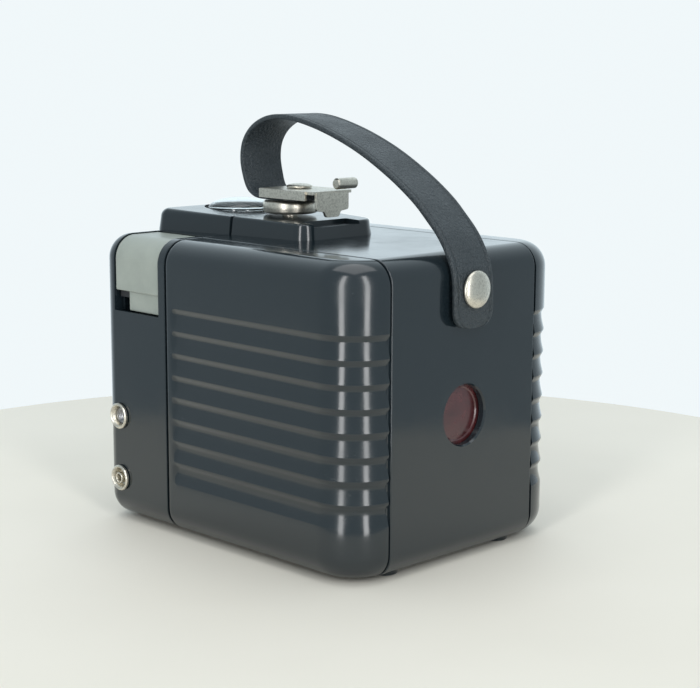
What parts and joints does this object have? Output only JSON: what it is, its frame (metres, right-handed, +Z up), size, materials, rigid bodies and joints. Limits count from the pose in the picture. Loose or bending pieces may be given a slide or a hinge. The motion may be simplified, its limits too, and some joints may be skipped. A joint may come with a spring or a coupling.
{
  "type": "box camera",
  "caption": "Moulded box camera for roll film with a draw-off rear shell, waist-level finder, carrying strap, rotary latch, side levers and a simple leaf shutter.",
  "frame": {"origin": "centre of the raised pad on the underside, on the camera's mid-plane and at the middle of the moulded body's depth", "axes": "+Z up, +Y towards the lens side (front), +X towards the winding knob side, the user's right"},
  "size_m": [0.0991, 0.1205, 0.1261],
  "materials": {
    "black_moulding": "polished black moulded phenolic plastic",
    "grey_plastic": "light grey-green moulded plastic, satin",
    "strap_vinyl": "soft black vinyl with a fine leather grain",
    "nickel": "nickel plate, slightly worn",
    "steel": "plain steel",
    "black_tin": "black lacquered tinplate",
    "brass": "plain brass",
    "ruby_plastic": "dark red translucent plastic",
    "clear_lens": "clear lens",
    "mirror_glass": "silvered glass"
  },
  "bodies": {
    "front_unit": {"front_housing": "black_moulding", "face_plate": "grey_plastic", "lens_ring": "nickel", "taking_lens": "clear_lens", "finder_front_lens": "clear_lens", "finder_top_lens": "clear_lens", "finder_chamber": "black_tin", "finder_mirror": "mirror_glass", "latch_keeper": "steel", "shutter_plate": "steel", "light_cone": "black_tin", "left_cheek": "steel", "right_cheek": "steel", "take_up_pin": "steel", "supply_pin_left": "steel", "supply_pin_right": "steel", "flash_socket_upper": "nickel", "flash_pin": "nickel", "contact_strip_upper": "brass", "contact_strip_lower": "brass", "release_spring": "steel", "shutter_screw_1": "steel", "shutter_screw_2": "steel", "shutter_screw_3": "steel", "carrier_screw_1": "steel", "carrier_screw_2": "steel", "carrier_screw_3": "steel", "carrier_screw_4": "steel", "cheek_screw_left": "steel", "cheek_screw_right": "steel", "face_screw_1": "nickel", "face_screw_2": "nickel"},
    "shell": {"rear_shell": "black_moulding", "ruby_window": "ruby_plastic", "window_frame": "black_tin", "strap": "strap_vinyl", "strap_button": "nickel", "strap_spacer": "nickel", "strap_washer": "steel"},
    "latch": {"latch_disc": "nickel", "latch_plate": "nickel", "latch_rivet": "nickel", "latch_roll": "nickel", "latch_cam": "steel", "latch_clip": "steel", "strap_tail": "strap_vinyl"},
    "winding_bush": {"winding_sleeve": "brass"},
    "knob": {"winding_knob": "black_moulding"},
    "spool": {"take_up_spool": "black_tin"},
    "roller_upper": {"upper_roller": "steel"},
    "roller_lower": {"lower_roller": "steel"},
    "release": {"release_lever": "grey_plastic"},
    "drive": {"drive_lever": "steel"},
    "blade": {"shutter_blade": "black_tin"},
    "bulb": {"bulb_lever": "grey_plastic"}
  },
  "joints": [
    {"name": "shell_draw", "type": "slide", "parent": "front_unit", "child": "shell", "axis": [0, -1, 0], "range_m": [0, 0.09]},
    {"name": "latch_turn", "type": "hinge", "parent": "shell", "child": "latch", "pos_m": [0, 0.0175, 0.1025], "axis": [0, 0, 1], "range_deg": [-90, 0]},
    {"name": "winding_turn", "type": "hinge", "parent": "shell", "child": "winding_bush", "pos_m": [0.0463, 0.008, 0.072], "axis": [1, 0, 0], "continuous": true},
    {"name": "knob_pull", "type": "slide", "parent": "winding_bush", "child": "knob", "axis": [1, 0, 0], "range_m": [0, 0.006]},
    {"name": "spool_turn", "type": "hinge", "parent": "front_unit", "child": "spool", "pos_m": [0, 0.008, 0.072], "axis": [1, 0, 0], "continuous": true},
    {"name": "upper_roller_turn", "type": "hinge", "parent": "front_unit", "child": "roller_upper", "pos_m": [0, -0.042, 0.0795], "axis": [1, 0, 0], "continuous": true},
    {"name": "lower_roller_turn", "type": "hinge", "parent": "front_unit", "child": "roller_lower", "pos_m": [0, -0.042, 0.0075], "axis": [1, 0, 0], "continuous": true},
    {"name": "release_press", "type": "slide", "parent": "front_unit", "child": "release", "axis": [0, 0, -1], "range_m": [0, 0.0045], "stiffness_N_per_m": 400, "springref_m": -0.002, "deforming": ["release_spring"]},
    {"name": "drive_turn", "type": "hinge", "parent": "front_unit", "child": "drive", "pos_m": [0.02, 0.044, 0.052], "axis": [0, 1, 0], "range_deg": [0, 21]},
    {"name": "blade_turn", "type": "hinge", "parent": "front_unit", "child": "blade", "pos_m": [0.012, 0.042, 0.055], "axis": [0, 1, 0], "range_deg": [0, 46]},
    {"name": "bulb_lift", "type": "slide", "parent": "front_unit", "child": "bulb", "axis": [0, 0, 1], "range_m": [0, 0.004]}
  ],
  "couplings": [
    {"joint": "spool_turn", "follows": "winding_turn", "ratio": 1},
    {"joint": "drive_turn", "follows": "release_press", "rad_per_m": 77.5},
    {"joint": "blade_turn", "follows": "release_press", "rad_per_m": 174.5}
  ]
}
